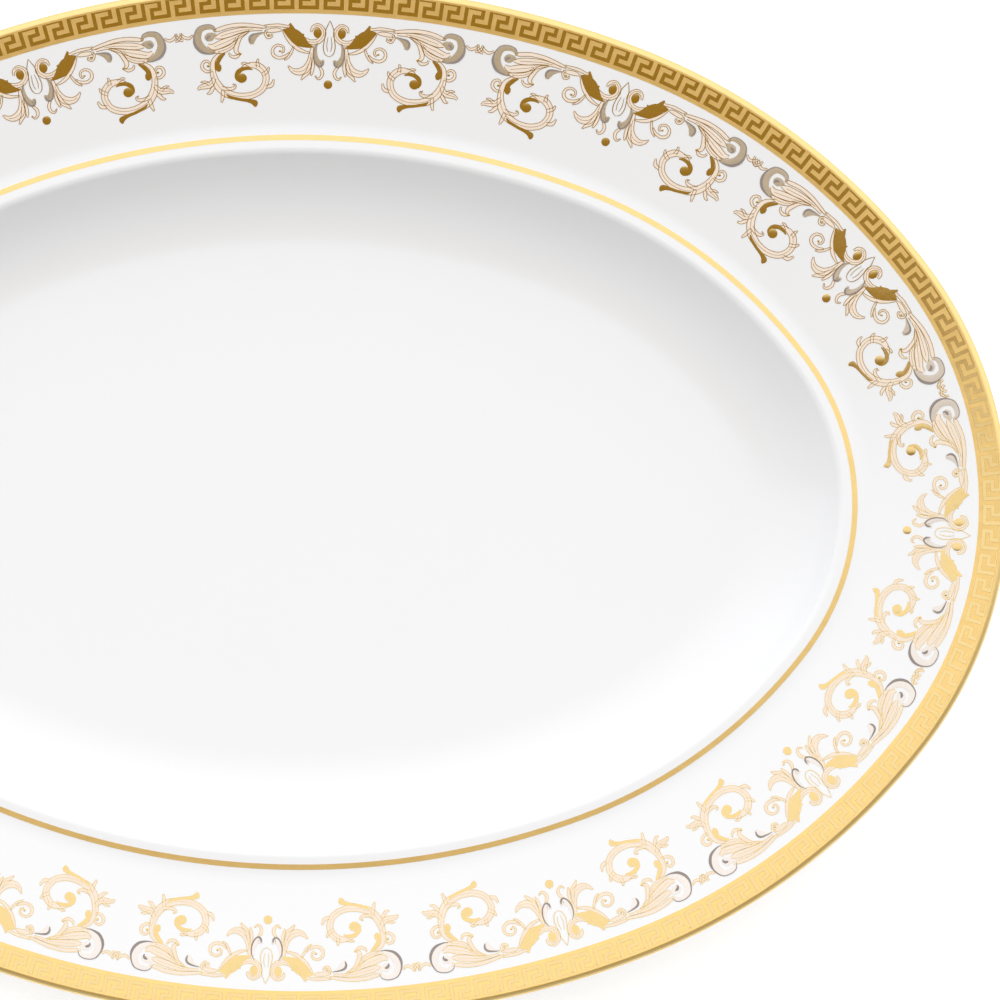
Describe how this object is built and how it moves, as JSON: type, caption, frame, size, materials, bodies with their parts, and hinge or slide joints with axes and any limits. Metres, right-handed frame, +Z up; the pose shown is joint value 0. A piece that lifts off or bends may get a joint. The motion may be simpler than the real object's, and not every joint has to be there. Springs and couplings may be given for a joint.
{
  "type": "serving platter",
  "caption": "Oval china serving platter with a gold key-pattern rim, scroll transfers, a shallow well and a foot ring",
  "frame": {"origin": "centre of the oval, on the plane that the foot ring rests on", "axes": "+X along the length, +Y across the width, +Z up"},
  "size_m": [0.3402, 0.2482, 0.0238],
  "materials": {
    "porcelain": "glazed white porcelain, with an unglazed ground foot ring",
    "matt_gold": "matt burnished gold",
    "bright_gold": "polished bright gold",
    "platinum": "bright platinum lustre",
    "scroll_enamel": "fired flesh-pink enamel print"
  },
  "bodies": {
    "root": {"porcelain_body": "porcelain", "lip_gilding": "bright_gold", "rim_gold_band": "matt_gold", "key_relief": "bright_gold", "shoulder_gold_line": "bright_gold", "scroll_enamel_01": "scroll_enamel", "scroll_enamel_02": "scroll_enamel", "scroll_enamel_03": "scroll_enamel", "scroll_enamel_04": "scroll_enamel", "scroll_enamel_05": "scroll_enamel", "scroll_enamel_06": "scroll_enamel", "scroll_enamel_07": "scroll_enamel", "scroll_enamel_08": "scroll_enamel", "scroll_enamel_09": "scroll_enamel", "scroll_enamel_10": "scroll_enamel", "scroll_enamel_11": "scroll_enamel", "scroll_enamel_12": "scroll_enamel", "scroll_platinum_01": "platinum", "scroll_platinum_02": "platinum", "scroll_platinum_03": "platinum", "scroll_platinum_04": "platinum", "scroll_platinum_05": "platinum", "scroll_platinum_06": "platinum", "scroll_platinum_07": "platinum", "scroll_platinum_08": "platinum", "scroll_platinum_09": "platinum", "scroll_platinum_10": "platinum", "scroll_platinum_11": "platinum", "scroll_platinum_12": "platinum", "scroll_gold_01": "bright_gold", "scroll_gold_02": "bright_gold", "scroll_gold_03": "bright_gold", "scroll_gold_04": "bright_gold", "scroll_gold_05": "bright_gold", "scroll_gold_06": "bright_gold", "scroll_gold_07": "bright_gold", "scroll_gold_08": "bright_gold", "scroll_gold_09": "bright_gold", "scroll_gold_10": "bright_gold", "scroll_gold_11": "bright_gold", "scroll_gold_12": "bright_gold"}
  },
  "joints": []
}
